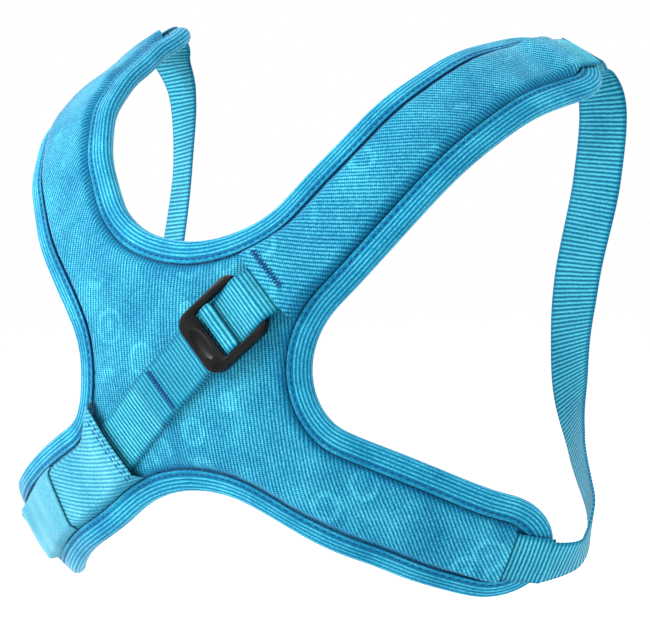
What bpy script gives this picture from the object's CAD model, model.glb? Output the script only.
import math

import bmesh
import bpy
import numpy as np
from mathutils import Matrix, Quaternion, Vector


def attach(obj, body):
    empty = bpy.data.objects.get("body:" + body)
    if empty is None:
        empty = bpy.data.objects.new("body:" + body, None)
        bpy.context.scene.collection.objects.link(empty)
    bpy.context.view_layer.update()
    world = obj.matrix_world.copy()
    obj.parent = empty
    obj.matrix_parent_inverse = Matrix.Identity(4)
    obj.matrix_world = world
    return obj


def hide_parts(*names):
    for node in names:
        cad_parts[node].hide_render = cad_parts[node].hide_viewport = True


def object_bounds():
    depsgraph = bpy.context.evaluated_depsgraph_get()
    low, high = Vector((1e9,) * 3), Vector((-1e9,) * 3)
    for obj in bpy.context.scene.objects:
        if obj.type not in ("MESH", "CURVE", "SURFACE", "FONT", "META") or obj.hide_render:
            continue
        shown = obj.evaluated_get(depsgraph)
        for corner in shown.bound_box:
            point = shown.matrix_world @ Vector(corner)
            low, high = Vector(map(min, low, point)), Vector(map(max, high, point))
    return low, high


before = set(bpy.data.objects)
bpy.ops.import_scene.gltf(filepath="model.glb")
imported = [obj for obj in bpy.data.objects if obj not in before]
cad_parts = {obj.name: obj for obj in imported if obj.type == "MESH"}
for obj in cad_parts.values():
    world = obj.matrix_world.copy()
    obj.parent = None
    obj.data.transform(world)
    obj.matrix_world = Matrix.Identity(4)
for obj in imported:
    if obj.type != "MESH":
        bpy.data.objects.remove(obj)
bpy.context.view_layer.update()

MM = 0.001

# Driving dimensions of the padded back, laid flat, in millimetres
ARM_WIDTH = 55
TIP_DEPTH = 30
TIP_SQUARENESS = 2.3
SHOULDER_LENGTH = 275
FLANK_LENGTH = 192
SHOULDER_ANGLE = 48
FLANK_ANGLE = 52
NECK_RADIUS = 76
ARMHOLE_RADIUS = 40
WAIST_RADIUS = 64

# Driving dimensions of the worn shape
HUB_RADIUS = 60
BACK_RADIUS_ACROSS = 290
BACK_RADIUS_UP = 240
BACK_LEAN = -3
CROWN_RADIUS = 120
STRAIGHT_TIP = 15
CHEST_DEPTH = 170
CHEST_HALF_WIDTH = 122

# Layers and cloth
CLEARANCE = 0.3
LAYER_CLEARANCE = 0.4
SEAM_CLEARANCE = 1.0
PAD_EDGE_CLEARANCE = 2.2
PAD_ABOVE = 2.0
PAD_BELOW = 3.0
COVER_THICKNESS = 1.0
BINDING_THICKNESS = 1.2
BINDING_REACH = 11
WEBBING_WIDTH = 25
WEBBING_THICKNESS = 1.3

# Where the covers begin and end along each arm
SHOULDER_HEM = 62
FLANK_HEM = 50
HEM_OVERLAP = 10
SHOULDER_TIP_HEM = 16
FLANK_TIP_HEM = 22
END_BAND_START = 109
END_BAND_OVERLAP = 6

# The strap line through the buckle
STRAP_LINE_OFFSET = 2
ADJUSTER_END = 90
ANCHOR_END = 80
ANCHOR_FOLD = 19.5

# Buckle
BUCKLE_START = 18
BUCKLE_LENGTH = 38
BUCKLE_WIDTH = 33
BUCKLE_CORNER = 7
BUCKLE_HEIGHT = 4.2
BUCKLE_LIFT = 2.0
BUCKLE_SINK = 0.5
WIDE_BAR = 10.5
WIDE_BAR_THICKNESS = 1.3
SLOT_GAP = 3.4
CENTRE_BAR = 4
CENTRE_BAR_THICKNESS = 2.2
CENTRE_BAR_LIFT = 0.5
END_BAR = 4.5
END_BAR_THICKNESS = 3.0
ANCHOR_PIN = 3
ANCHOR_PIN_THICKNESS = 1.1
ANCHOR_PIN_INSET = 5

# Detail sizes that the solids leave out
BINDING_RIB = 1.75
BINDING_RIB_HEIGHT = 0.2
JOINT_AT = 80
JOINT_LENGTH = 30
JOINT_HEIGHT = 0.7
STITCH_INSET = 9.1
STITCH_PITCH = 3.6
STITCH_LENGTH = 2.5
WEBBING_RIB = 2.0
WEBBING_RIB_HEIGHT = 0.2
COVER_RIB = 1.7
FLANK_RIB = 1.9
COVER_THREAD = 0.9
BAR_TACK_LENGTH = 21
BAR_TACK_WIDTH = 3.0
BAR_TACK_PITCH = 0.72
THREAD_RADIUS = 0.3
THREAD_SIDES = 6
CLOTH_GLOSS = 0.08

# Print on the cover: the rings and dots are in shares of the spacing
PRINT_SPACING = 24
RING_RADIUS = 0.3
RING_LINE = 0.045
DOT_RADIUS = 0.11

# The pad's edge, and the channel that its binding presses into the lining
PAD_ROUNDING = 2.4
CHANNEL_INSET = 14
CHANNEL_SPREAD = 2.5
CHANNEL_DEPTH = 0.5

# The binding's rolled lip and stitched groove
BINDING_LIP = 0.28
LIP_SPREAD = 0.55
BINDING_GROOVE = 0.22
GROOVE_SPREAD = 0.4

# The buckle's rounding, the oval of its dent, and how far its cuts reach past it
BUCKLE_SOFTENING = 0.75
SLOT_CORNER = 1.6
DENT_SIZE = (0.34 * WIDE_BAR, 0.27 * BUCKLE_WIDTH, 0.7)
CUT_PAST = 2

# Where details sit
RIBS_FROM = 2.6
BINDING_EDGE = BINDING_REACH - 0.25
HEM_ROWS = [("flank_hem_stitches", 1.4), ("flank_hem_inner_stitches", 3.6)]
SHOULDER_TACK_PAST_HEM = 6
SHOULDER_TACK_ASIDE = 5
ANCHOR_TACK_AT = -8
SEAM_SINK = 0.12
HEM_THREAD_RISE = 0.1
SHOULDER_TACK_RISE = 0.12
ANCHOR_TACK_RISE = 0.2

# How far short of each tip the loops leave their sleeves, and the stretch that steers them
SHOULDER_LEAVE = 3
FLANK_LEAVE = 2
LOOP_LEAD = 10

# Ramps: where each starts after its mark, and its length
PANEL_FLATTENING = (2, 30)
TIP_RAMP = (-22, 14)
HEM_RAMP = (4, 18)
OVERLAP_RAMP = (6, 16)
BINDING_RAMP = (-13, 6)
COVER_END_RAMP = (1.5, 9)
BUCKLE_END_RAMP = (1, 14)
OFFSET_FADE = (0, 40)

# Slow waves that all layers share: height, along, up, length, shift
DRAPE_WAVES = [(0.35, 0.8, 0.6, 8.1, 0.7), (0.25, -0.5, 0.9, 5.3, 2.1)]
DRAPE_START, DRAPE_LENGTH = 24, 60

# How each arm bends along its free length: share, bend, turn, twist
BENDS = {
    "right_shoulder": [(1 / 3, 20, 14, -5), (1 / 3, 33, 4, -2), (1 / 3, 18, -9, -4)],
    "left_shoulder": [(1 / 3, 16, 16, -2), (1 / 3, 38, 3, -6), (1 / 3, 9, -4, 4)],
    "right_flank": [(1 / 3, 9, 15, -6), (1 / 3, 15, -9, 4), (1 / 3, 17, 9, 7)],
    "left_flank": [(1 / 3, 9, 15, -6), (1 / 3, 15, -9, 4), (1 / 3, 17, 14, 7)],
}

# How each loop hangs: down, fore, out, heading, rise, left_out, left_turn
LOOP_COURSE = [
    (0.03, 0.965, 0.965, 180, 20, 0.07, 10),
    (0.1, 1.01, 0.985, 184, 5, 0.03, 18),
    (0.26, 0.99, 0.975, 185, 0, 0.02, 28),
    (0.46, 0.935, 0.925, 180, 0, 0.085, 30),
    (0.63, 0.855, 0.955, 163, -3, 0.05, 12),
    (0.79, 0.74, 1.08, 136, -4, 0.02, 0),
    (0.92, 0.62, 1.235, 127, -6, 0, 0),
    (0.985, 0.55, 1.245, 108, -20, 0, 0),
]

HALF_WIDTH = ARM_WIDTH / 2
HALF_WEBBING = WEBBING_WIDTH / 2


def smooth(value):
    x = np.clip(value, 0, 1)
    return x * x * (3 - 2 * x)


def lerp(a, b, share):
    return a + (b - a) * share


def ramp_after(value, mark, ramp):
    return smooth((value - mark - ramp[0]) / ramp[1])


def unit(rows):
    return rows / np.linalg.norm(rows, axis=1)[:, None]


def travel(points):
    """The way from the first point to each of them."""
    return np.concatenate([[0], np.cumsum(np.linalg.norm(np.diff(points, axis=0), axis=1))])


def square_to(rows, along):
    """Unit rows, square to the unit rows along."""
    return unit(rows - along * np.sum(rows * along, axis=1)[:, None])


def hump(value, middle, spread):
    return np.exp(-((value - middle) / spread) ** 2)


def fading(value, length):
    return np.exp(-np.maximum(value, 0) / length)


def rolling_mean(rows, span):
    window = 2 * span + 1
    spread = np.pad(rows, ((span, span), (0, 0)), mode="edge")
    return sum(spread[k:k + len(rows)] for k in range(window)) / window


# The worn surface: four bent strips blended by direction from the middle of the back
INTEGRATION_STEP = 2
SMOOTHING_SPAN = 7
BLEND_FULL = math.radians(20)
BLEND_NONE = math.radians(66)


class Arm:
    def __init__(self, angle, length, bends, hand):
        self.angle = math.radians(angle)
        self.length = length
        self.axis = np.array([math.cos(self.angle), math.sin(self.angle)])
        self.side = np.array([-self.axis[1], self.axis[0]])
        self.notch = {}
        self.bend_centre_line(bends, hand)

    def curvatures(self, bends, hand, count):
        across, up = self.axis[0] ** 2, self.axis[1] ** 2
        skew = self.axis[0] * self.axis[1] * (1 / BACK_RADIUS_ACROSS - 1 / BACK_RADIUS_UP)
        rows = np.zeros((count, 3))
        s = (np.arange(count) + 0.5) * INTEGRATION_STEP
        rows[s < HUB_RADIUS] = (across / BACK_RADIUS_ACROSS + up / BACK_RADIUS_UP, 0, skew)
        start = HUB_RADIUS
        free = self.length - HUB_RADIUS - STRAIGHT_TIP
        for share, bend, turn, twist in bends:
            stretch = free * share
            here = (s >= start) & (s < start + stretch)
            rows[here] = np.radians([bend, hand * turn, hand * twist]) / stretch
            start += stretch
        return rows

    def bend_centre_line(self, bends, hand):
        count = math.ceil(self.length / INTEGRATION_STEP) + 20
        mean = rolling_mean(self.curvatures(bends, hand, count), SMOOTHING_SPAN)
        cross = self.axis[1] ** 2 / BACK_RADIUS_ACROSS + self.axis[0] ** 2 / BACK_RADIUS_UP
        lean = math.radians(BACK_LEAN)
        right = Vector((1, 0, 0))
        out = Vector((0, -math.cos(lean), math.sin(lean)))
        along = right * self.axis[0] + out.cross(right) * self.axis[1]
        across = out.cross(along)
        point = Vector((0, 0, 0))
        frames = [(point.copy(), along.copy(), across.copy(), out.copy(), cross)]
        for index in range(count):
            bend, turn, twist = mean[index]
            spin = (along * twist + across * bend + out * turn) * INTEGRATION_STEP
            whole = Quaternion(spin.normalized(), spin.length)
            half = Quaternion(spin.normalized(), spin.length / 2)
            point = point + (half @ along) * INTEGRATION_STEP
            along, across, out = whole @ along, whole @ across, whole @ out
            settled = float(smooth((index + 0.5) * INTEGRATION_STEP / (1.5 * HUB_RADIUS)))
            crown = lerp(cross, 1 / CROWN_RADIUS, settled)
            frames.append((point.copy(), along.copy(), across.copy(), out.copy(), crown))
        self.point, self.along, self.across, self.out = (
            np.array([row[k] for row in frames]) for k in range(4)
        )
        self.crown = np.array([row[4] for row in frames])

    def strip(self, s, t):
        place = np.clip(s / INTEGRATION_STEP, 0, len(self.crown) - 1.001)
        index = place.astype(int)
        share = (place - index)[:, None]
        crown = self.crown[index]
        arc = crown * t

        def mix(rows):
            return rows[index] * (1 - share) + rows[index + 1] * share

        return (
            mix(self.point)
            + mix(self.along) * np.minimum(s, 0)[:, None]
            + mix(self.across) * (np.sin(arc) / crown)[:, None]
            + mix(self.out) * ((np.cos(arc) - 1) / crown)[:, None]
        )

    def pattern(self, s, t):
        return np.multiply.outer(s, self.axis) + np.multiply.outer(t, self.side)

    def half_span(self, side, s, inset):
        notch = self.notch[side]
        shoulder = self.length - TIP_DEPTH
        in_notch = HALF_WIDTH + notch["radius"] - np.sqrt(
            np.maximum((notch["radius"] + inset) ** 2 - np.maximum(notch["along"] - s, 0) ** 2, 0)
        )
        share = np.clip((s - shoulder) / (TIP_DEPTH - inset), 0, 1)
        in_tip = (HALF_WIDTH - inset) * (1 - share ** TIP_SQUARENESS) ** (1 / TIP_SQUARENESS)
        return np.where(s < notch["along"], in_notch, in_tip)

    def notch_middle(self, side, inset):
        notch = self.notch[side]
        reach = notch["reach"] - notch["radius"] - inset
        return reach * math.cos(notch["half"]), reach * math.sin(notch["half"])


upper_left = Arm(90 + SHOULDER_ANGLE, SHOULDER_LENGTH, BENDS["left_shoulder"], -1)
upper_right = Arm(90 - SHOULDER_ANGLE, SHOULDER_LENGTH, BENDS["right_shoulder"], 1)
lower_right = Arm(FLANK_ANGLE - 90, FLANK_LENGTH, BENDS["right_flank"], 1)
lower_left = Arm(-90 - FLANK_ANGLE, FLANK_LENGTH, BENDS["left_flank"], -1)
arms = [upper_left, upper_right, lower_right, lower_left]


def make_notches():
    rows = [
        (upper_left, upper_right, NECK_RADIUS),
        (upper_right, lower_right, ARMHOLE_RADIUS),
        (lower_right, lower_left, WAIST_RADIUS),
        (lower_left, upper_left, ARMHOLE_RADIUS),
    ]
    made = []
    for first, second, radius in rows:
        half = math.acos(float(first.axis @ second.axis)) / 2
        reach = (HALF_WIDTH + radius) / math.sin(half)
        middle = first.axis + second.axis
        notch = {
            "first": first,
            "second": second,
            "radius": radius,
            "half": half,
            "reach": reach,
            "along": reach * math.cos(half),
            "centre": middle / np.linalg.norm(middle) * reach,
        }
        first.notch["right"] = notch
        second.notch["left"] = notch
        made.append(notch)
    return made


notches = make_notches()


def edge_distance(points):
    distances = []
    for notch in notches:
        first, second, radius = notch["first"], notch["second"], notch["radius"]
        away = points - notch["centre"]
        along_first, along_second = away @ first.axis, away @ second.axis
        beside = np.where(along_first > along_second, away @ first.side, -(away @ second.side)) - radius
        round_corner = np.linalg.norm(away, axis=1) - radius
        distances.append(np.where((along_first < 0) & (along_second < 0), round_corner, beside))
    return np.min(distances, axis=0)


def surface_middle(points):
    direction = np.arctan2(points[:, 1], points[:, 0])
    total = np.zeros(len(points))
    summed = np.zeros((len(points), 3))
    for arm in arms:
        turn = np.abs((direction - arm.angle + math.pi) % (2 * math.pi) - math.pi)
        weight = smooth((BLEND_NONE - turn) / (BLEND_NONE - BLEND_FULL)) + 1e-9
        summed += arm.strip(points @ arm.axis, points @ arm.side) * weight[:, None]
        total += weight
    return summed / total[:, None]


def surface_normal(points):
    along_u = surface_middle(points + (1, 0)) - surface_middle(points - (1, 0))
    along_v = surface_middle(points + (0, 1)) - surface_middle(points - (0, 1))
    return unit(np.cross(along_u, along_v))


# A slow unevenness that all layers share, so that the cloth doesn't look pressed
def drape(points):
    u, v = points[:, 0], points[:, 1]
    waves = sum(
        height * np.sin((along * u + up * v) / length + shift)
        for height, along, up, length, shift in DRAPE_WAVES
    )
    return waves * smooth((np.hypot(u, v) - DRAPE_START) / DRAPE_LENGTH)


def surface(points, level):
    return surface_middle(points) + surface_normal(points) * (level + drape(points))[:, None]


def tip_of(arm):
    return arm.strip(np.array([float(arm.length)]), np.array([0.0]))[0]


shoulder_rest = (tip_of(upper_left) + tip_of(upper_right)) / 2

SHOULDER_SLEEVE_END = SHOULDER_LENGTH - SHOULDER_TIP_HEM
FLANK_SLEEVE_END = FLANK_LENGTH - FLANK_TIP_HEM
COVER_INSET = BINDING_REACH + SEAM_CLEARANCE
SLEEVE_ROOM = WEBBING_THICKNESS + 3 * CLEARANCE
SLEEVE_RISE = (HALF_WIDTH - COVER_INSET - HALF_WEBBING) / 2
TIP_GAPE = BINDING_THICKNESS + 3 * CLEARANCE
UNDERLAP = COVER_THICKNESS + LAYER_CLEARANCE
HEM_GAPE = 3


def sleeve_lift(points):
    return SLEEVE_ROOM * smooth((edge_distance(points) - COVER_INSET) / (2 * SLEEVE_RISE))


def centre_cover_bottom(points):
    to_left, to_right = points @ upper_left.axis, points @ lower_right.axis
    off = np.abs(np.where(to_left > to_right, points @ upper_left.side, points @ lower_right.side))
    flattening = 1 - ramp_after(off, HALF_WEBBING, PANEL_FLATTENING)
    tip = TIP_GAPE * ramp_after(to_left, SHOULDER_SLEEVE_END, TIP_RAMP)
    foot = TIP_GAPE * ramp_after(to_right, FLANK_SLEEVE_END, TIP_RAMP)
    return PAD_ABOVE + CLEARANCE + sleeve_lift(points) * (flattening + (tip + foot) / SLEEVE_ROOM)


def sleeve_bottom(arm, start, overlap, hem_at, tip_at):
    """The height of a sleeve's inner face, as a function of points in the pattern."""

    def bottom(points):
        s = points @ arm.axis
        over = UNDERLAP * (1 - ramp_after(s, start + overlap, OVERLAP_RAMP))
        hem = HEM_GAPE * (1 - ramp_after(s, hem_at, HEM_RAMP))
        tip = TIP_GAPE * ramp_after(s, tip_at, TIP_RAMP)
        gape = sleeve_lift(points) / SLEEVE_ROOM
        return PAD_ABOVE + CLEARANCE + sleeve_lift(points) + over + (hem + tip) * gape

    return bottom


shoulder_bottom = sleeve_bottom(
    upper_right, SHOULDER_HEM, HEM_OVERLAP, SHOULDER_HEM, SHOULDER_SLEEVE_END
)
flank_bottom = sleeve_bottom(lower_left, FLANK_HEM, HEM_OVERLAP, FLANK_HEM, FLANK_LENGTH)
band_bottom = sleeve_bottom(lower_left, END_BAND_START, END_BAND_OVERLAP, 0, FLANK_SLEEVE_END)


# Meshes: points in millimetres, each with its own place in the weave
def to_row(points):
    return (np.asarray(points) - shoulder_rest) * MM


def add_object(name, data):
    made = bpy.data.objects.new(name, data)
    bpy.context.scene.collection.objects.link(made)
    return made


def ring_faces(count, around, base=0, looped=False):
    """Faces between rings of points, with the ends capped, or joined where looped."""
    faces = []
    for n in range(count if looped else count - 1):
        low, high = base + n * around, base + (n + 1) % count * around
        for k in range(around):
            j = (k + 1) % around
            faces.append([low + k, low + j, high + j, high + k])
    if not looped:
        last = base + (count - 1) * around
        faces.append([base + k for k in range(around)][::-1])
        faces.append([last + k for k in range(around)])
    return faces


def new_piece(name, points, faces, weave, material):
    mesh = bpy.data.meshes.new(name)
    mesh.from_pydata(to_row(points).tolist(), [], faces)
    attribute = mesh.attributes.new("weave", "FLOAT_VECTOR", "POINT")
    attribute.data.foreach_set("vector", np.asarray(weave, dtype=np.float32).ravel())
    mesh.materials.append(material)
    mesh.polygons.foreach_set("use_smooth", [True] * len(mesh.polygons))
    mesh.update()
    piece = add_object(name, mesh)
    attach(piece, "root")
    return piece


class Plate:
    """A grid in the flat pattern that grows into a cloth with two faces and a rim."""

    def __init__(self):
        self.keys = {}
        self.points = []
        self.faces = []

    def corner(self, point):
        key = (round(point[0] * 1e3), round(point[1] * 1e3))
        if key not in self.keys:
            self.keys[key] = len(self.points)
            self.points.append(point)
        return self.keys[key]

    def add_rows(self, rows):
        corners = [[self.corner(point) for point in row] for row in rows]
        for low, high in zip(corners, corners[1:]):
            for j in range(len(low) - 1):
                face = [low[j], low[j + 1], high[j + 1], high[j]]
                face = [c for k, c in enumerate(face) if c != face[k - 1]]
                if len(face) > 2:
                    self.faces.append(face)
        return self

    def cut(self):
        """The flat cut's least width and length, and its area, in metres."""
        points = np.array(self.points)
        spans = []
        for angle in np.radians(np.arange(0, 90, 3)):
            along = np.array([math.cos(angle), math.sin(angle)])
            across = np.array([-math.sin(angle), math.cos(angle)])
            spans.append(sorted([np.ptp(points @ along) * MM, np.ptp(points @ across) * MM]))
        area = 0
        for face in self.faces:
            x, y = points[face].T
            area += abs(x @ np.roll(y, -1) - y @ np.roll(x, -1)) / 2
        return min(spans, key=lambda span: span[0] * span[1]), area * MM ** 2

    def rim(self):
        used = {(f[k - 1], f[k]) for f in self.faces for k in range(len(f))}
        return [edge for edge in used if (edge[1], edge[0]) not in used]

    def grow(self, top, bottom, edge):
        """edge rows are (out, share): moved out of the rim and between the two faces' levels."""
        points = np.array(self.points)
        count = len(points)
        rim = sorted(self.rim())
        outward = np.zeros_like(points)
        for a, b in rim:
            step = points[b] - points[a]
            direction = np.array([step[1], -step[0]]) / np.linalg.norm(step)
            outward[a] += direction
            outward[b] += direction
        at = np.array(sorted({a for a, _ in rim}))
        outward = unit(outward[at])
        place = {a: k for k, a in enumerate(at)}
        top_level, bottom_level = top(points), bottom(points)
        solid = [surface(points, top_level), surface(points, bottom_level)]
        flat = [points, points]
        for out, share in edge:
            moved = points[at] + outward * out
            solid.append(surface(moved, lerp(top_level[at], bottom_level[at], share)))
            flat.append(moved)
        faces = [list(f) for f in self.faces] + [[c + count for c in reversed(f)] for f in self.faces]
        rows = [lambda a: a]
        for k in range(len(edge)):
            rows.append(lambda a, k=k: 2 * count + k * len(at) + place[a])
        rows.append(lambda a: a + count)
        for a, b in rim:
            for upper, lower in zip(rows, rows[1:]):
                faces.append([upper(b), upper(a), lower(a), lower(b)])
        return np.vstack(solid), faces, np.vstack(flat)


def rows_across(arm, left_s, left_t, right_s, right_t, columns):
    """One row of points from the arm's left edge to its right edge."""
    left = arm.axis * left_s + arm.side * left_t
    right = arm.axis * right_s - arm.side * right_t
    share = np.linspace(0, 1, columns + 1)[:, None]
    return left * (1 - share) + right * share


def edge_rows(arm, inset, left_from, right_from, end, columns, shares):
    """Rows between the arm's two edges, from a start on each edge to a common end."""
    rows = []
    for share in shares:
        left_s, right_s = lerp(left_from, end, share), lerp(right_from, end, share)
        left_t = float(arm.half_span("left", left_s, inset))
        right_t = float(arm.half_span("right", right_s, inset))
        rows.append(rows_across(arm, left_s, left_t, right_s, right_t, columns))
    return rows


def arm_rows(arm, inset, start, end, columns, step):
    count = max(round((end - start) / step), 2)
    return edge_rows(arm, inset, start, start, end, columns, np.linspace(0, 1, count + 1))


def sector_rows(arm, inset, end, columns, step):
    left = arm.notch_middle("left", inset)
    right = arm.notch_middle("right", inset)
    rows = []
    for share in np.linspace(0, 1, round(max(left[0], right[0]) / step) + 1):
        corners = [place * share for place in (*left, *right)]
        rows.append(rows_across(arm, *corners, columns))
    count = round((end - min(left[0], right[0])) / step)
    shares = np.linspace(0, 1, count + 1)[1:]
    return rows + edge_rows(arm, inset, left[0], right[0], end, columns, shares)


def tip_curve(arm, inset, count):
    """Places (s, t) along one side of the squarish tip, out to its end."""
    angle = np.radians(90 * (1 - np.arange(1, count + 1) / count))
    drawn = np.maximum(np.cos(angle), 0) ** (2 / TIP_SQUARENESS)
    spread = np.maximum(np.sin(angle), 0) ** (2 / TIP_SQUARENESS)
    return arm.length - TIP_DEPTH + (TIP_DEPTH - inset) * drawn, (HALF_WIDTH - inset) * spread


def tip_rows(arm, inset, columns, count):
    return [rows_across(arm, s, t, s, t, columns) for s, t in zip(*tip_curve(arm, inset, count))]


def outline(inset, step=2.6, tip_steps=16):
    """The outline in order round the X, the same points at every inset."""
    loop = []
    for notch in notches:
        radius, along, half = notch["radius"], notch["along"], notch["half"]
        arc_steps = round(radius * (math.pi / 2 - half) / step)

        def outward(arm, side, sign):
            turn = np.linspace(half, math.pi / 2, arc_steps + 1)[1:]
            end = arm.length - TIP_DEPTH
            edge = np.linspace(along, end, round((end - along) / step) + 1)[1:]
            tip_s, tip_t = tip_curve(arm, inset, tip_steps)
            s = np.concatenate([along - (radius + inset) * np.cos(turn), edge, tip_s])
            t = np.concatenate([
                HALF_WIDTH + radius - (radius + inset) * np.sin(turn),
                np.full(len(edge), HALF_WIDTH - inset),
                tip_t,
            ])
            middle_s, middle_t = arm.notch_middle(side, inset)
            middle = arm.pattern(np.array([middle_s]), np.array([sign * middle_t]))
            return arm.pattern(s, sign * t), middle

        left, left_middle = outward(notch["first"], "right", -1)
        right, _ = outward(notch["second"], "left", 1)
        loop.extend([left[::-1], left_middle, right[:-1]])
    return np.vstack(loop)


# Materials: every cloth reads its own weave, whose first axis runs across the ribs
def node_tree(name):
    material = bpy.data.materials.new(name)
    material.use_nodes = True
    tree = material.node_tree
    return material, tree, tree.nodes["Principled BSDF"]


def set_inputs(node, values):
    for name, value in values.items():
        node.inputs[name].default_value = value


def add_bump(tree, height, shader, strength, distance):
    bump = tree.nodes.new("ShaderNodeBump")
    set_inputs(bump, {"Strength": strength, "Distance": distance * MM})
    tree.links.new(height, bump.inputs["Height"])
    tree.links.new(bump.outputs["Normal"], shader.inputs["Normal"])


def math_node(tree, operation, *values):
    node = tree.nodes.new("ShaderNodeMath")
    node.operation = operation
    for socket, value in zip(node.inputs, values):
        if isinstance(value, (int, float)):
            socket.default_value = value
        else:
            tree.links.new(value, socket)
    return node.outputs[0]


def wave(tree, coordinate, pitch, sharpness=1.0):
    """A rounded ridge for each pitch of the coordinate, from 0 to 1."""
    angle = math_node(tree, "MULTIPLY", coordinate, 2 * math.pi / pitch)
    ridge = math_node(tree, "MULTIPLY_ADD", math_node(tree, "SINE", angle), 0.5, 0.5)
    return math_node(tree, "POWER", ridge, sharpness)


def noise(tree, vector, scale, detail=3.0):
    node = tree.nodes.new("ShaderNodeTexNoise")
    set_inputs(node, {"Scale": scale, "Detail": detail})
    tree.links.new(vector, node.inputs["Vector"])
    return node.outputs["Fac"]


def colour_ramp(tree, fac, stops):
    node = tree.nodes.new("ShaderNodeValToRGB")
    while len(node.color_ramp.elements) < len(stops):
        node.color_ramp.elements.new(0.5)
    for element, (position, colour) in zip(node.color_ramp.elements, stops):
        element.position = position
        element.color = (*colour, 1)
    tree.links.new(fac, node.inputs["Fac"])
    return node.outputs["Color"]


def eased(tree, value, strength, base=0.0):
    """The value's swing about its middle, times strength, on top of base."""
    return math_node(tree, "MULTIPLY_ADD", value, strength, base - strength / 2)


def summed(tree, values):
    total = values[0]
    for value in values[1:]:
        total = math_node(tree, "ADD", total, value)
    return total


def rings_print(tree, vector):
    """Faint rings and dots scattered over the cloth, from 0 to 1."""
    cells = tree.nodes.new("ShaderNodeTexVoronoi")
    set_inputs(cells, {"Scale": 1 / PRINT_SPACING, "Randomness": 0.7})
    tree.links.new(vector, cells.inputs["Vector"])
    distance = cells.outputs["Distance"]
    off_ring = math_node(tree, "ABSOLUTE", math_node(tree, "SUBTRACT", distance, RING_RADIUS))
    ring = math_node(tree, "LESS_THAN", off_ring, RING_LINE)
    dot = math_node(tree, "LESS_THAN", distance, DOT_RADIUS)
    inked = math_node(tree, "GREATER_THAN", noise(tree, vector, 0.021, 1.0), 0.5)
    worn = math_node(tree, "MULTIPLY", inked, noise(tree, vector, 0.35, 3.0))
    return math_node(tree, "MULTIPLY", math_node(tree, "MAXIMUM", ring, dot), worn)


def cloth(
    name, tones, pitch, thread, rib=0.5, fine=0.15, speck=0.5, patch=0.5,
    relief=0.5, printed=0.0, roughness=0.75,
):
    """A ribbed cloth with three tones, from between the ribs to their crests."""
    material, tree, shader = node_tree(name)
    attribute = tree.nodes.new("ShaderNodeAttribute")
    attribute.attribute_name = "weave"
    place = attribute.outputs["Vector"]
    split = tree.nodes.new("ShaderNodeSeparateXYZ")
    tree.links.new(place, split.inputs[0])
    x, y, shade = split.outputs
    drift = math_node(tree, "MULTIPLY", noise(tree, place, 0.12), 0.5)
    ribs = wave(tree, math_node(tree, "ADD", x, drift), pitch, 0.8)
    threads = wave(tree, y, thread)
    parts = [
        eased(tree, ribs, rib, 0.5),
        eased(tree, threads, fine),
        eased(tree, noise(tree, place, 1.3, 2.0), speck),
        eased(tree, noise(tree, place, 0.045, 4.0), patch),
    ]
    if printed:
        parts.append(math_node(tree, "MULTIPLY", rings_print(tree, place), printed))
    tone = math_node(tree, "MULTIPLY", summed(tree, parts), shade)
    colour = colour_ramp(tree, tone, list(zip((0.1, 0.5, 0.95), tones)))
    tree.links.new(colour, shader.inputs["Base Color"])
    height = math_node(tree, "ADD", ribs, math_node(tree, "MULTIPLY", threads, 0.25))
    add_bump(tree, height, shader, relief, 0.3)
    set_inputs(shader, {
        "Roughness": roughness,
        "Sheen Weight": 0.2,
        "Sheen Roughness": 0.3,
        "Specular IOR Level": CLOTH_GLOSS,
    })
    return material


COVER_TONES = [(0.0, 0.024, 0.08), (0.0, 0.12, 0.222), (0.065, 0.38, 0.465)]
LIGHT_TONES = [(0.0, 0.06, 0.12), (0.015, 0.185, 0.275), (0.13, 0.38, 0.45)]
BAND_TONES = [(0.0, 0.09, 0.15), (0.03, 0.2, 0.275), (0.12, 0.32, 0.39)]
BINDING_TONES = [(0.0, 0.026, 0.09), (0.0, 0.14, 0.25), (0.075, 0.4, 0.485)]
LINING_TONES = [(0.0, 0.03, 0.1), (0.0, 0.1, 0.22), (0.005, 0.19, 0.33)]
WEBBING_TONES = [(0.0, 0.03, 0.08), (0.0, 0.142, 0.23), (0.08, 0.42, 0.48)]
THREAD_TONES = [(0.0, 0.012, 0.06), (0.0, 0.035, 0.14), (0.003, 0.08, 0.24)]

cover_cloth = cloth(
    "cover_cloth", COVER_TONES, COVER_RIB, COVER_THREAD, rib=0.42, fine=0.2, speck=0.7, printed=0.2
)
flank_cloth = cloth("flank_cloth", LIGHT_TONES, FLANK_RIB, COVER_THREAD, rib=0.42, fine=0.2, speck=0.7)
band_cloth = cloth("band_cloth", BAND_TONES, COVER_THREAD, COVER_THREAD, rib=0.35, speck=0.8, relief=0.25)
binding_cloth = cloth("binding_cloth", BINDING_TONES, BINDING_RIB, 0.7, rib=0.26, speck=0.65, relief=0.3)
lining_cloth = cloth("lining_cloth", LINING_TONES, 1.2, 1.2, relief=0.4)
webbing_cloth = cloth(
    "webbing_cloth", WEBBING_TONES, WEBBING_RIB, 0.6, rib=0.55, relief=0.35, patch=0.25, roughness=0.6
)
thread_cloth = cloth("thread_cloth", THREAD_TONES, 0.5, 0.5, relief=0.3)


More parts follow.
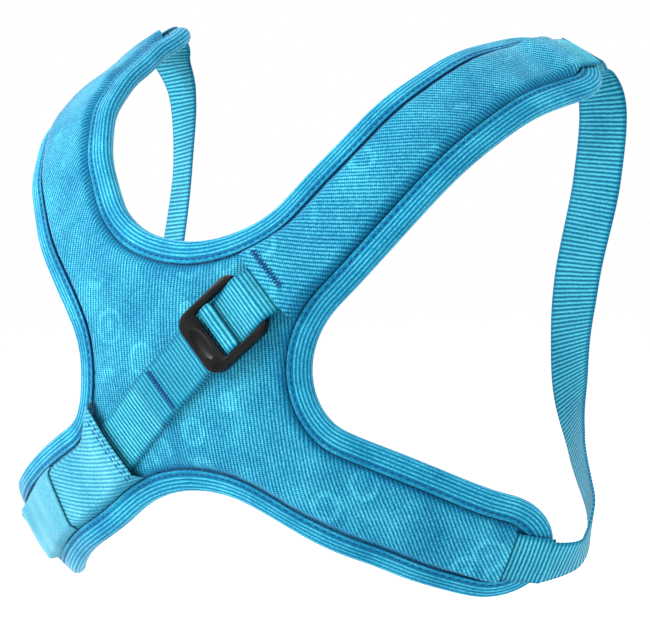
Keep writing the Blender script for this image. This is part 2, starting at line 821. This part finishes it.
def moulded_plastic(name):
    material, tree, shader = node_tree(name)
    place = tree.nodes.new("ShaderNodeTexCoord").outputs["Object"]
    scuff = noise(tree, place, 60.0, 4.0)
    colour = colour_ramp(tree, scuff, [(0.35, (0.001, 0.001, 0.001)), (0.75, (0.005, 0.005, 0.005))])
    tree.links.new(colour, shader.inputs["Base Color"])
    tree.links.new(eased(tree, scuff, 0.2, 0.22), shader.inputs["Roughness"])
    set_inputs(shader, {"Specular IOR Level": 0.12})
    add_bump(tree, noise(tree, place, 900.0, 2.0), shader, 0.1, 0.1)
    return material


buckle_plastic = moulded_plastic("buckle_plastic")


def weave_of(flat, direction, shade):
    """Pattern points turned so that the first axis runs across ribs that lie along direction."""
    angle = math.radians(direction)
    along = np.array([math.cos(angle), math.sin(angle)])
    across = np.array([math.sin(angle), -math.cos(angle)])
    return np.column_stack([flat @ across, flat @ along, shade])


# Padded back
def make_back_pad():
    inset = BINDING_THICKNESS + PAD_EDGE_CLEARANCE + PAD_ROUNDING
    plate = Plate()
    for arm in arms:
        rows = sector_rows(arm, inset, arm.length - TIP_DEPTH, 16, 4)
        plate.add_rows(rows + tip_rows(arm, inset, 16, 8))
    edge = [
        (PAD_ROUNDING * math.sin(angle), 0.5 - 0.5 * math.cos(angle))
        for angle in np.linspace(0, math.pi, 9)[1:-1]
    ]

    def under(points):
        return CHANNEL_DEPTH * hump(edge_distance(points), CHANNEL_INSET, CHANNEL_SPREAD) - PAD_BELOW

    solid, faces, flat = plate.grow(lambda p: np.full(len(p), PAD_ABOVE), under, edge)
    shade = np.ones(len(flat))
    piece = new_piece("padded_back", solid, faces, weave_of(flat, 20, shade), lining_cloth)
    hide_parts("back_pad")


# Edge binding: its ribs run along the tape and over the rounded edge
def binding_section():
    """Each row round the tape: its inset from the edge, level, way travelled and shade."""
    inner_top, inner_bottom = PAD_ABOVE + LAYER_CLEARANCE, -PAD_BELOW - LAYER_CLEARANCE
    top, bottom = inner_top + BINDING_THICKNESS, inner_bottom - BINDING_THICKNESS
    middle, half = (top + bottom) / 2, (top - bottom) / 2
    bend = 0.3 * BINDING_REACH
    face = np.linspace(BINDING_EDGE, bend, 30)
    arc = np.radians(np.linspace(90, -90, 42)[1:-1])
    under = np.linspace(bend, BINDING_EDGE, 10)
    inset = np.concatenate([face, bend - bend * np.cos(arc), under])
    level = np.concatenate([
        np.full(len(face), top),
        middle + half * np.sin(arc),
        np.full(len(under), bottom),
    ])
    normal = np.concatenate([
        np.tile([0, 1], (len(face), 1)),
        np.column_stack([-np.cos(arc), np.sin(arc)]),
        np.tile([0, -1], (len(under), 1)),
    ])
    travelled = travel(np.column_stack([inset, level]))
    lip = hump(travelled, LIP_SPREAD, LIP_SPREAD)
    groove = hump(travelled, BINDING_EDGE - STITCH_INSET, GROOVE_SPREAD)
    past = travelled - RIBS_FROM
    ribs = np.where(past > 0, 0.5 - 0.5 * np.cos(2 * np.pi * past / BINDING_RIB), 0)
    lift = BINDING_LIP * lip - BINDING_GROOVE * groove + BINDING_RIB_HEIGHT * (ribs - 0.5)
    shade = np.clip(0.72 + 0.45 * ribs + 0.5 * lip - 0.1 * groove, 0.3, 1.2)
    inset, level = inset + normal[:, 0] * lift, level + normal[:, 1] * lift
    back = np.array([
        (BINDING_REACH, bottom + 0.3),
        (BINDING_REACH, inner_bottom - 0.2),
        (BINDING_REACH - 0.2, inner_bottom),
        (bend + 0.4, inner_bottom),
        (BINDING_THICKNESS, lerp(middle, inner_bottom, 0.6)),
        (BINDING_THICKNESS, lerp(middle, inner_top, 0.6)),
        (bend + 0.4, inner_top),
        (BINDING_REACH - 0.2, inner_top),
        (BINDING_REACH, inner_top + 0.2),
        (BINDING_REACH, top - 0.2),
    ])
    inset = np.concatenate([inset, back[:, 0]])
    level = np.concatenate([level, back[:, 1]])
    travelled = np.concatenate([travelled, np.full(len(back), travelled[-1])])
    shade = np.concatenate([shade, np.full(len(back), 0.4)])
    return inset, level, travelled, shade


def binding_joint(points):
    """The tape's end lies over its start, beside the lower left arm."""
    s, t = points @ lower_left.axis, points @ lower_left.side
    over = smooth((s - JOINT_AT + JOINT_LENGTH) / JOINT_LENGTH) * (s < JOINT_AT) * (t > 0)
    return JOINT_HEIGHT * over


def make_binding():
    inset, level, travelled, shade = binding_section()
    middle = (PAD_ABOVE - PAD_BELOW) / 2
    half = level.max() - middle
    loops = [outline(row) for row in inset]
    along = travel(loops[0])
    rings = []
    weave = []
    for loop, height, across, tone in zip(loops, level, travelled, shade):
        rings.append(surface(loop, height + binding_joint(loop) * (height - middle) / half))
        weave.append(np.column_stack([
            np.full(len(loop), across - RIBS_FROM - BINDING_RIB / 4),
            along,
            np.full(len(loop), tone),
        ]))
    faces = ring_faces(len(loops), len(along), looped=True)
    piece = new_piece("ribbed_binding", np.vstack(rings), faces, np.vstack(weave), binding_cloth)
    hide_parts("edge_binding")


# Covers: the cloth puckers a little along its seams
def pucker(points):
    away = edge_distance(points) - COVER_INSET
    u, v = points[:, 0], points[:, 1]
    ripple = np.sin((u * 1.1 - v * 0.7) / 1.9) * np.sin((u + 1.3 * v) / 3.1)
    return 0.22 * ripple * fading(away, 4)


CLOTH_EDGE = [(0.28, 0.15), (0.4, 0.5), (0.28, 0.85)]


def make_cover(name, node, plate, bottom, direction, material, lip=None):
    def top(points):
        tuck = 0.5 * fading(edge_distance(points) - COVER_INSET, 1.2)
        rolled = lip(points) if lip else 0
        return bottom(points) + COVER_THICKNESS + pucker(points) - tuck + rolled

    solid, faces, flat = plate.grow(top, lambda p: bottom(p) + np.minimum(pucker(p), 0), CLOTH_EDGE)
    shade = 1 - 0.45 * fading(edge_distance(flat) - COVER_INSET, 1.6)
    if lip:
        shade += 0.4 * lip(flat)
    piece = new_piece(name, solid, faces, weave_of(flat, direction, shade), material)
    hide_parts(node)
    size, area = plate.cut()


COVER_COLUMNS = 28
COVER_STEP = 2.5


def folded_edge(points):
    return 0.6 * hump(points @ lower_left.axis, END_BAND_START + 0.9, 0.8)


def make_covers():
    centre = Plate()
    ends = [
        (upper_left, SHOULDER_SLEEVE_END),
        (upper_right, SHOULDER_HEM + HEM_OVERLAP),
        (lower_right, FLANK_SLEEVE_END),
        (lower_left, FLANK_HEM + HEM_OVERLAP),
    ]
    for arm, end in ends:
        centre.add_rows(sector_rows(arm, COVER_INSET, end, COVER_COLUMNS, COVER_STEP))
    shoulder, flank, band = (
        Plate().add_rows(arm_rows(arm, COVER_INSET, start, end, COVER_COLUMNS, COVER_STEP))
        for arm, start, end in [
            (upper_right, SHOULDER_HEM, SHOULDER_SLEEVE_END),
            (lower_left, FLANK_HEM, END_BAND_START + END_BAND_OVERLAP),
            (lower_left, END_BAND_START, FLANK_SLEEVE_END),
        ]
    )
    make_cover("centre_cover", "centre_panel", centre, centre_cover_bottom, 94, cover_cloth)
    make_cover("shoulder_cover", "shoulder_panel", shoulder, shoulder_bottom, -8, cover_cloth)
    make_cover("flank_cover", "flank_panel", flank, flank_bottom, 12, flank_cloth)
    make_cover("flank_band", "flank_end_band", band, band_bottom, 60, band_cloth, folded_edge)


# Webbing: a woven strap with cross ribs and rounded edges.
# place(y, lift) gives a point for every section at y across the strap and lift above its middle.
WEBBING_QUARTER = [(1.0, 0.0), (0.985, 0.55), (0.93, 0.92), (0.8, 1.0), (0.4, 1.0), (0.0, 1.0)]
WEBBING_PROFILE = [
    *WEBBING_QUARTER,
    *[(-y, share) for y, share in WEBBING_QUARTER[-2::-1]],
    *[(-y, -share) for y, share in WEBBING_QUARTER[1:]],
    *[(y, -share) for y, share in WEBBING_QUARTER[-2:0:-1]],
]


def make_webbing(name, node, place, count, tone=1.0):
    travelled = travel(place(0.0, np.zeros(count)))
    ribs = 0.5 * np.sin(2 * np.pi * travelled / WEBBING_RIB)
    half = WEBBING_THICKNESS / 2 + WEBBING_RIB_HEIGHT * ribs
    columns = []
    weave = []
    for y, share in WEBBING_PROFILE:
        columns.append(place(y * HALF_WEBBING, half * share))
        shade = (1 - 0.35 * smooth((abs(y) - 0.86) / 0.1)) * tone * np.ones(count)
        weave.append(np.column_stack([travelled, np.full(count, y * HALF_WEBBING), shade]))
    points = np.stack(columns, axis=1).reshape(-1, 3)
    weave = np.stack(weave, axis=1).reshape(-1, 3)
    faces = ring_faces(count, len(columns))
    piece = new_piece(name, points, faces, weave, webbing_cloth)
    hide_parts(node)


def strap_level(arm, s):
    low = PAD_ABOVE + CLEARANCE + WEBBING_THICKNESS / 2
    rise = ramp_after(s, arm.length - BINDING_REACH, BINDING_RAMP)
    return low + (BINDING_THICKNESS + 2.4 * CLEARANCE) * rise


def width_direction(heading, rise, hand):
    level = math.cos(math.radians(rise))
    return np.array([
        hand * level * math.cos(math.radians(heading)),
        level * math.sin(math.radians(heading)),
        math.sin(math.radians(rise)),
    ])


def catmull_rom(points, share):
    """A centripetal curve through the points, with its direction, at shares of the whole list."""
    points = np.asarray(points)
    place = np.clip(share * (len(points) - 1), 0, len(points) - 1 - 1e-9)
    index = place.astype(int)
    weight = (place - index)[:, None]
    extended = np.vstack([2 * points[0] - points[1], points, 2 * points[-1] - points[-2]])
    a, b, c, d = (extended[index + k] for k in range(4))

    def gap(p, q):
        return np.maximum(np.linalg.norm(p - q, axis=1) ** 0.5, 1e-4)[:, None]

    first, second, third = gap(a, b), gap(b, c), gap(c, d)
    leave = ((b - a) / first - (c - a) / (first + second) + (c - b) / second) * second
    reach = ((c - b) / second - (d - b) / (second + third) + (d - c) / third) * second
    two = -3 * b + 3 * c - 2 * leave - reach
    three = 2 * b - 2 * c + leave + reach
    point = b + leave * weight + two * weight ** 2 + three * weight ** 3
    along = leave + 2 * two * weight + 3 * three * weight ** 2
    return point, unit(along)


WEBBING_STEP = 0.5
STRAP_LINE_STEP = 0.35
TWIST_SPAN = 25


def loop_webbing(name, node, hand, upper_start, lower_start, upper_offset, lower_offset):
    upper = upper_right if hand > 0 else upper_left
    lower = lower_right if hand > 0 else lower_left

    def in_sleeve(arm, start, end, sign, offset):
        s = np.linspace(start, end, round((end - start) / WEBBING_STEP) + 1)
        drift = offset * (1 - ramp_after(s, start, OFFSET_FADE))

        def place(y, lift):
            return surface(arm.pattern(s, drift + sign * y), strap_level(arm, s) + lift)

        return place, len(s)

    over, over_count = in_sleeve(upper, upper_start, upper.length - SHOULDER_LEAVE, hand, upper_offset)
    under, under_count = in_sleeve(lower, lower_start, lower.length - FLANK_LEAVE, -hand, lower_offset)

    def spot(place, count, index):
        flat = np.zeros(count)
        across = place(HALF_WEBBING, flat)[index] - place(-HALF_WEBBING, flat)[index]
        return place(0.0, flat)[index], across / np.linalg.norm(across)

    back = round(LOOP_LEAD / WEBBING_STEP)
    top, foot = spot(over, over_count, -1), spot(under, under_count, -1)
    stops = [spot(over, over_count, -1 - back), top]
    for down, fore, out, heading, rise, left_out, left_turn in LOOP_COURSE:
        if hand < 0:
            out, heading = out + left_out, heading + left_turn
        height = lerp(top[0][2], foot[0][2], down)
        point = np.array([hand * CHEST_HALF_WIDTH * out, CHEST_DEPTH * fore, height])
        stops.append((point, width_direction(heading, rise, hand)))
    stops += [foot, spot(under, under_count, -1 - back)]
    spans = len(stops) - 1
    shares = []
    for span in range(1, spans - 1):
        parts = round(np.linalg.norm(stops[span][0] - stops[span + 1][0]) / WEBBING_STEP)
        shares.append((span + np.arange(parts) / parts) / spans)
    shares = np.concatenate(shares)[1:]
    middle, along = catmull_rom([stop[0] for stop in stops], shares)
    widths = np.array([stop[1] for stop in stops])
    index = np.minimum((shares * spans).astype(int), spans - 1)
    blend = smooth(shares * spans - index)[:, None]
    across = square_to(rolling_mean(lerp(widths[index], widths[index + 1], blend), TWIST_SPAN), along)
    outward = np.cross(along, across) * hand

    def place(y, lift):
        first, last = over_count, over_count + len(middle)
        free = middle + across * y + outward * lift[first:last, None]
        return np.vstack([over(y, lift[:first]), free, under(y, lift[last:][::-1])[::-1]])

    make_webbing(name, node, place, over_count + len(middle) + under_count)


# The strap line: x towards the upper right arm, y to its left, height above the covers
STRAP_LINE_ANGLE = math.radians(90 - (SHOULDER_ANGLE + FLANK_ANGLE) / 2)
STRAP_LINE_AXIS = np.array([math.cos(STRAP_LINE_ANGLE), math.sin(STRAP_LINE_ANGLE)])
STRAP_LINE_SIDE = np.array([-STRAP_LINE_AXIS[1], STRAP_LINE_AXIS[0]])
BUCKLE_MIDDLE = BUCKLE_START + BUCKLE_LENGTH / 2


def strap_line_point(x, y):
    return np.multiply.outer(x, STRAP_LINE_AXIS) + np.multiply.outer(STRAP_LINE_OFFSET + y, STRAP_LINE_SIDE)


def line_point(x):
    """The one point at x on the strap line."""
    return strap_line_point(np.array([float(x)]), np.array([0.0]))


def lateral_offset(arm, s):
    return float(line_point(s if arm is upper_right else -s)[0] @ arm.side)


def buckle_axes():
    base = centre_cover_bottom(line_point(BUCKLE_START)) + COVER_THICKNESS - BUCKLE_SINK
    origin = surface(line_point(BUCKLE_MIDDLE), base)
    out = surface_normal(line_point(BUCKLE_MIDDLE))
    ahead = square_to(surface(line_point(BUCKLE_MIDDLE + 1), base) - origin, out)
    return origin[0], np.vstack([ahead, np.cross(out, ahead), out])


BUCKLE_ORIGIN, BUCKLE_AXES = buckle_axes()


def in_buckle(x, y, height):
    """Places in the buckle's own frame, x from its middle."""
    return BUCKLE_ORIGIN + np.column_stack([x, y, height]) @ BUCKLE_AXES


def on_strap_line(x, y, height):
    y = np.broadcast_to(y, x.shape)
    stiff = in_buckle(x - BUCKLE_MIDDLE, y, height)
    leave = ramp_after(np.abs(x - BUCKLE_MIDDLE), BUCKLE_LENGTH / 2, BUCKLE_END_RAMP)[:, None]
    points = strap_line_point(x, y)
    covered = centre_cover_bottom(points) + COVER_THICKNESS
    shoulder_drop = ramp_after(x, SHOULDER_HEM + HEM_OVERLAP, COVER_END_RAMP)
    flank_drop = ramp_after(-x, FLANK_HEM + HEM_OVERLAP, COVER_END_RAMP)
    base = lerp(covered, PAD_ABOVE, np.maximum(shoulder_drop, flank_drop))
    return lerp(stiff, surface(points, base + height), leave)


def side_webbing(name, node, course, tone_of=lambda line: 1.0):
    """A strap drawn from the side as a smooth line through (x, height)."""
    course = np.array([(x, height, 0) for x, height in course])
    parts = [max(round(gap / STRAP_LINE_STEP), 1) for gap in np.diff(travel(course))]
    shares = [(k + np.arange(part) / part) / len(parts) for k, part in enumerate(parts)]
    line, along = catmull_rom(course, np.append(np.concatenate(shares), 1.0))

    def place(y, lift):
        return on_strap_line(line[:, 0] - along[:, 1] * lift, y, line[:, 1] + along[:, 0] * lift)

    make_webbing(name, node, place, len(line), tone_of(line))


def arc_points(x, height, radius, start, end, count):
    angles = np.radians(np.linspace(start, end, count + 1))
    return [(x + radius * math.cos(a), height + radius * math.sin(a)) for a in angles]


def straight(start, end, step):
    count = max(round(abs(end[0] - start[0]) / step), 1)
    return [(lerp(start[0], end[0], k / count), lerp(start[1], end[1], k / count)) for k in range(count)]


LOWER_RUN = 1.5 * CLEARANCE + WEBBING_THICKNESS / 2
UPPER_RUN = LOWER_RUN + WEBBING_THICKNESS + CLEARANCE
WRAP = CLEARANCE + WEBBING_THICKNESS / 2
CENTRE_BAR_START = BUCKLE_START + WIDE_BAR + SLOT_GAP
CENTRE_BAR_MIDDLE = CENTRE_BAR_START + CENTRE_BAR / 2
CENTRE_BAR_FLOOR = BUCKLE_LIFT + CENTRE_BAR_LIFT
END_BAR_START = BUCKLE_START + BUCKLE_LENGTH - END_BAR
PIN_START = BUCKLE_START + ANCHOR_PIN_INSET
PIN_FLOOR = LOWER_RUN + WEBBING_THICKNESS / 2 + CLEARANCE


def adjuster_course():
    crest = BUCKLE_LIFT + END_BAR_THICKNESS + WRAP
    under = CENTRE_BAR_FLOOR - WRAP
    over = CENTRE_BAR_FLOOR + CENTRE_BAR_THICKNESS + WRAP
    foot = CENTRE_BAR_START + CENTRE_BAR + 1.2
    radius = (over - under) / 2
    return [
        *straight((ADJUSTER_END, LOWER_RUN), (SHOULDER_HEM + 4, LOWER_RUN), 6),
        *straight((SHOULDER_HEM + 4, LOWER_RUN), (SHOULDER_HEM - 2, LOWER_RUN + 0.8), 3),
        (END_BAR_START + END_BAR + 1.8, crest - 1.1),
        (END_BAR_START + END_BAR + 0.4, crest - 0.1),
        (END_BAR_START + END_BAR - 1, crest),
        (END_BAR_START + 0.4, crest),
        (END_BAR_START - 1, crest - 0.45),
        (lerp(END_BAR_START, foot, 0.5), lerp(crest, under, 0.52)),
        (foot, under + 0.35),
        (CENTRE_BAR_START + CENTRE_BAR - 0.6, under),
        *arc_points(CENTRE_BAR_START + 0.6, under + radius, radius, 270, 90, 6),
        (CENTRE_BAR_MIDDLE + 0.4, over + 0.25),
        *arc_points(CENTRE_BAR_START + CENTRE_BAR - 0.4, over - 1.6, 1.7, 80, 5, 3),
    ]


def anchor_course():
    around = (PIN_FLOOR + ANCHOR_PIN_THICKNESS + WRAP - LOWER_RUN) / 2
    return [
        *straight((-ANCHOR_END, LOWER_RUN), (PIN_START + ANCHOR_PIN - 0.6, LOWER_RUN), 7),
        *arc_points(PIN_START + ANCHOR_PIN - 0.6, LOWER_RUN + around, around, -90, 90, 6),
        (PIN_START, LOWER_RUN + 2 * around),
        (BUCKLE_START - 2, LOWER_RUN + 2 * around - 0.3),
        (BUCKLE_START - 8, UPPER_RUN + 0.2),
        *straight((BUCKLE_START - 14, UPPER_RUN), (-ANCHOR_FOLD, UPPER_RUN), 7),
        (-ANCHOR_FOLD, UPPER_RUN),
    ]


def anchor_tone(line):
    """The doubled part is darker, with a dark cut end that shades the layer below."""
    upper = line[:, 1] > LOWER_RUN + WEBBING_THICKNESS / 2
    past_end = -ANCHOR_FOLD - line[:, 0]
    return np.where(upper, 0.84 - 0.5 * hump(past_end, 0, 0.4), 1.06 - 0.7 * hump(past_end, 0, 0.9))


# Buckle
def rounded_rectangle(low_x, high_x, low_y, high_y, radius, steps):
    corners = [
        (high_x - radius, high_y - radius, 0),
        (low_x + radius, high_y - radius, 90),
        (low_x + radius, low_y + radius, 180),
        (high_x - radius, low_y + radius, 270),
    ]
    points = []
    for x, y, start in corners:
        for k in range(steps + 1):
            angle = math.radians(start + 90 * k / steps)
            points.append((x + radius * math.cos(angle), y + radius * math.sin(angle)))
    return points


def rectangle(low_x, high_x, half):
    return [(low_x, -half), (high_x, -half), (high_x, half), (low_x, half)]


def prism(points, low, high):
    """An object that is a closed prism in the buckle's frame."""
    mesh = bpy.data.meshes.new("prism")
    mesh.from_pydata([(x, y, z) for z in (low, high) for x, y in points], [], ring_faces(2, len(points)))
    return add_object("prism", mesh)


def thumb_dent(place):
    """An object that is an oval as large as the dent."""
    oval = bmesh.new()
    matrix = Matrix.LocRotScale(Vector(place), None, Vector(DENT_SIZE))
    bmesh.ops.create_uvsphere(oval, u_segments=48, v_segments=24, radius=1, matrix=matrix)
    mesh = bpy.data.meshes.new("oval")
    oval.to_mesh(mesh)
    oval.free()
    return add_object("oval", mesh)


def cut_away(body, tool):
    cut = body.modifiers.new("cut", "BOOLEAN")
    cut.operation = "DIFFERENCE"
    cut.solver = "EXACT"
    cut.object = tool


def make_buckle():
    half = BUCKLE_WIDTH / 2
    start = -BUCKLE_LENGTH / 2
    inside = HALF_WEBBING + 2 * CLEARANCE
    top = BUCKLE_LIFT + BUCKLE_HEIGHT
    end_bar = END_BAR_START - BUCKLE_MIDDLE
    wide_end = BUCKLE_START + WIDE_BAR - BUCKLE_MIDDLE
    bar_start = CENTRE_BAR_START - BUCKLE_MIDDLE
    pin_start = PIN_START - BUCKLE_MIDDLE
    body = prism(rounded_rectangle(start, -start, -half, half, BUCKLE_CORNER, 10), BUCKLE_LIFT, top)
    below, above = BUCKLE_LIFT - CUT_PAST, top + CUT_PAST
    tools = [
        prism(rounded_rectangle(wide_end, end_bar, -inside, inside, SLOT_CORNER, 5), below, above),
        prism(rectangle(start - CUT_PAST, end_bar, inside), below, top - WIDE_BAR_THICKNESS),
        prism(rectangle(end_bar - 0.5, -start + CUT_PAST, inside), BUCKLE_LIFT + END_BAR_THICKNESS, above),
    ]
    for tool in tools:
        cut_away(body, tool)
    soften = body.modifiers.new("soften", "BEVEL")
    soften.width = BUCKLE_SOFTENING
    soften.segments = 4
    soften.limit_method = "ANGLE"
    soften.angle_limit = math.radians(40)
    tools.append(thumb_dent((start + WIDE_BAR / 2 + 0.2, 0, top)))
    cut_away(body, tools[-1])
    joined = bmesh.new()
    joined.from_mesh(body.evaluated_get(bpy.context.evaluated_depsgraph_get()).to_mesh())
    bars = [
        (bar_start, bar_start + CENTRE_BAR, CENTRE_BAR_FLOOR, CENTRE_BAR_FLOOR + CENTRE_BAR_THICKNESS),
        (pin_start, pin_start + ANCHOR_PIN, PIN_FLOOR, PIN_FLOOR + ANCHOR_PIN_THICKNESS),
    ]
    for low_x, high_x, low_z, high_z in bars:
        section = rounded_rectangle(low_x, high_x, low_z, high_z, 0.45 * (high_z - low_z), 5)
        verts = [joined.verts.new((x, y, z)) for y in (-inside - 0.5, inside + 0.5) for x, z in section]
        for face in ring_faces(2, len(section)):
            joined.faces.new([verts[corner] for corner in face])
    bmesh.ops.recalc_face_normals(joined, faces=joined.faces)
    local = np.array([vert.co[:] for vert in joined.verts])
    points = in_buckle(local[:, 0], local[:, 1], local[:, 2])
    for vert, point in zip(joined.verts, to_row(points)):
        vert.co = point
    mesh = bpy.data.meshes.new("slide_buckle")
    joined.to_mesh(mesh)
    joined.free()
    mesh.materials.clear()
    mesh.materials.append(buckle_plastic)
    for used in [body, *tools]:
        bpy.data.objects.remove(used)
    piece = add_object("slide_buckle", mesh)
    mesh.polygons.foreach_set("use_smooth", [True] * len(mesh.polygons))
    mesh.set_sharp_from_angle(angle=math.radians(35))
    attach(piece, "root")
    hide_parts("buckle")


# Sewing thread
STITCH_SECTION = [(-0.5, 0.04), (-0.36, 0.24), (0.0, 0.32), (0.36, 0.24), (0.5, 0.04)]
THREAD_ANGLES = [2 * math.pi * k / THREAD_SIDES for k in range(THREAD_SIDES)]


def thread_piece(name, rings, faces):
    points = np.stack(rings, axis=1).reshape(-1, 3)
    weave = np.column_stack([points[:, 0], points[:, 2], np.ones(len(points))])
    new_piece(name, points, faces, weave, thread_cloth)


def make_stitches(name, centres, directions, normals):
    """Short raised stitches, each a tapered thread."""
    beside = np.cross(normals, directions)
    rings = []
    for share, radius in STITCH_SECTION:
        middle = centres + directions * share * STITCH_LENGTH
        for angle in THREAD_ANGLES:
            rings.append(middle + radius * (beside * math.cos(angle) + normals * 0.8 * math.sin(angle)))
    faces = []
    for n in range(len(centres)):
        faces += ring_faces(len(STITCH_SECTION), THREAD_SIDES, n * len(rings))
    thread_piece(name, rings, faces)


def stitches_along(name, line, level):
    """Stitches along a line in the pattern; level gives the height under each."""
    travelled = travel(line)
    count = int(travelled[-1] / STITCH_PITCH)
    middle = (np.arange(count) + 0.5) * travelled[-1] / count

    def at(distance):
        return np.column_stack([np.interp(distance, travelled, line[:, k]) for k in range(2)])

    height = level(at(middle))
    reach = 0.4 * STITCH_LENGTH
    direction = unit(surface(at(middle + reach), height) - surface(at(middle - reach), height))
    normal = square_to(surface_normal(at(middle)), direction)
    make_stitches(name, surface(at(middle), height), direction, normal)


def make_seams():
    seam = outline(STITCH_INSET, step=2, tip_steps=12)
    seam = np.vstack([seam, seam[:1]])
    tape = LAYER_CLEARANCE + BINDING_THICKNESS
    sides = [
        ("binding_stitches", PAD_ABOVE + tape - SEAM_SINK),
        ("binding_back_stitches", -PAD_BELOW - tape),
    ]
    for name, level in sides:
        stitches_along(name, seam, lambda p, level=level: np.full(len(p), level))
    level = COVER_THICKNESS + HEM_THREAD_RISE
    for name, past_hem in HEM_ROWS:
        s = FLANK_HEM + past_hem
        reach = float(lower_left.half_span("left", s, COVER_INSET)) - 1
        line = lower_left.pattern(np.full(9, s), np.linspace(reach, -reach, 9))
        stitches_along(name, line, lambda p: flank_bottom(p) + level)


def zigzag(name, corners, normals):
    """A bar tack: one thread laid back and forth between the corners."""
    along = unit(np.gradient(corners, axis=0))
    beside = unit(np.cross(normals, along))
    up = np.cross(along, beside)
    rings = [corners + (beside * math.cos(a) + up * math.sin(a)) * THREAD_RADIUS for a in THREAD_ANGLES]
    thread_piece(name, rings, ring_faces(len(corners), THREAD_SIDES))


def make_bar_tacks():
    parts = 2 * round(BAR_TACK_LENGTH / BAR_TACK_PITCH)
    along = BAR_TACK_LENGTH * (np.arange(parts) / parts - 0.5)
    across = -BAR_TACK_WIDTH / 2 * np.cos(np.pi * np.arange(parts) / 2)
    points = upper_right.pattern(SHOULDER_HEM + SHOULDER_TACK_PAST_HEM + across, SHOULDER_TACK_ASIDE + along)
    place = surface(points, shoulder_bottom(points) + COVER_THICKNESS + SHOULDER_TACK_RISE)
    zigzag("shoulder_bar_tack", place, surface_normal(points))
    x = ANCHOR_TACK_AT + across
    height = UPPER_RUN + WEBBING_THICKNESS / 2 + ANCHOR_TACK_RISE
    place = on_strap_line(x, along, np.full(len(x), height))
    zigzag("anchor_bar_tack", place, surface_normal(strap_line_point(x, along)))


make_back_pad()
make_binding()
make_covers()
loop_webbing(
    "right_loop", "right_loop_strap", 1,
    ADJUSTER_END + SEAM_CLEARANCE, 1, lateral_offset(upper_right, ADJUSTER_END), 0,
)
loop_webbing(
    "left_loop", "left_loop_strap", -1,
    1, ANCHOR_END + SEAM_CLEARANCE, 0, lateral_offset(lower_left, ANCHOR_END),
)
side_webbing("adjuster_webbing", "adjuster_strap", adjuster_course())
side_webbing("anchor_webbing", "anchor_strap", anchor_course(), anchor_tone)
make_buckle()
make_seams()
make_bar_tacks()


# Camera at the photograph's angle
CAMERA_AZIMUTH = 36
CAMERA_ELEVATION = 3
CAMERA_ROLL = -1
CAMERA_DISTANCE = 2.0
PIXELS_PER_METRE = 2200
LENS_REACH = 50
FRAME_WIDTH, FRAME_HEIGHT = 650, 618
BACK_MIDDLE_PIXEL = (185, 379.5)
SENSOR_WIDTH = 36


def make_camera():
    azimuth, elevation, roll = (math.radians(a) for a in (CAMERA_AZIMUTH, CAMERA_ELEVATION, CAMERA_ROLL))
    ahead = Vector((
        -math.sin(azimuth) * math.cos(elevation),
        math.cos(azimuth) * math.cos(elevation),
        -math.sin(elevation),
    ))
    level = Vector((math.cos(azimuth), math.sin(azimuth), 0))
    upward = level.cross(ahead)
    right = level * math.cos(roll) + upward * math.sin(roll)
    above = upward * math.cos(roll) - level * math.sin(roll)
    back_middle = Vector(to_row(np.zeros((1, 3)))[0])
    position = back_middle - ahead * CAMERA_DISTANCE
    aim = (
        back_middle
        + right * ((FRAME_WIDTH / 2 - BACK_MIDDLE_PIXEL[0]) / PIXELS_PER_METRE)
        + above * ((BACK_MIDDLE_PIXEL[1] - FRAME_HEIGHT / 2) / PIXELS_PER_METRE)
    )
    look = (aim - position).normalized()
    side = look.cross(above).normalized()
    up = side.cross(look)
    data = bpy.data.cameras.new("camera")
    data.sensor_width = SENSOR_WIDTH
    data.sensor_fit = "HORIZONTAL"
    data.lens = SENSOR_WIDTH * PIXELS_PER_METRE * CAMERA_DISTANCE / FRAME_WIDTH
    data.clip_end = LENS_REACH
    camera = add_object("camera", data)
    rotation = Matrix((side, up, -look)).transposed().to_4x4()
    camera.matrix_world = Matrix.Translation(position) @ rotation
    bpy.context.scene.camera = camera
    return back_middle, ahead, right, above


back_middle, ahead, right, above = make_camera()


# Floor, daylight and four soft lamps: each lamp's place ahead, right and above, energy and size
FLOOR_REACH = 14
FLOOR_GAP = 0.12
LAMPS = [
    ("left_lamp", (-0.5, -1.2, 0.6), 24, 0.7),
    ("rim_lamp", (0.1, -1.3, 0.9), 22, 0.5),
    ("right_lamp", (-0.5, 1.5, 0.4), 10, 0.7),
    ("top_lamp", (-0.4, 0.2, 1.5), 20, 0.6),
]


def make_floor():
    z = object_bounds()[0][2] - FLOOR_GAP
    corners = [(x, y, z) for x, y in rectangle(-FLOOR_REACH, FLOOR_REACH, FLOOR_REACH)]
    mesh = bpy.data.meshes.new("floor")
    mesh.from_pydata(corners, [], [[0, 1, 2, 3]])
    material, _, shader = node_tree("floor_paint")
    set_inputs(shader, {"Base Color": (0.99, 0.99, 0.99, 1), "Roughness": 0.9})
    mesh.materials.append(material)
    add_object("floor", mesh)


def make_light():
    world = bpy.data.worlds.new("studio")
    world.use_nodes = True
    set_inputs(world.node_tree.nodes["Background"], {"Color": (1, 1, 1, 1), "Strength": 1.0})
    bpy.context.scene.world = world
    for name, (fore, aside, up), energy, size in LAMPS:
        data = bpy.data.lights.new(name, "AREA")
        data.energy = energy
        data.size = size
        lamp = add_object(name, data)
        lamp.location = back_middle + ahead * fore + right * aside + above * up
        lamp.rotation_euler = (back_middle - lamp.location).to_track_quat("-Z", "Y").to_euler()
    bpy.context.scene.view_settings.view_transform = "Standard"


make_floor()
make_light()
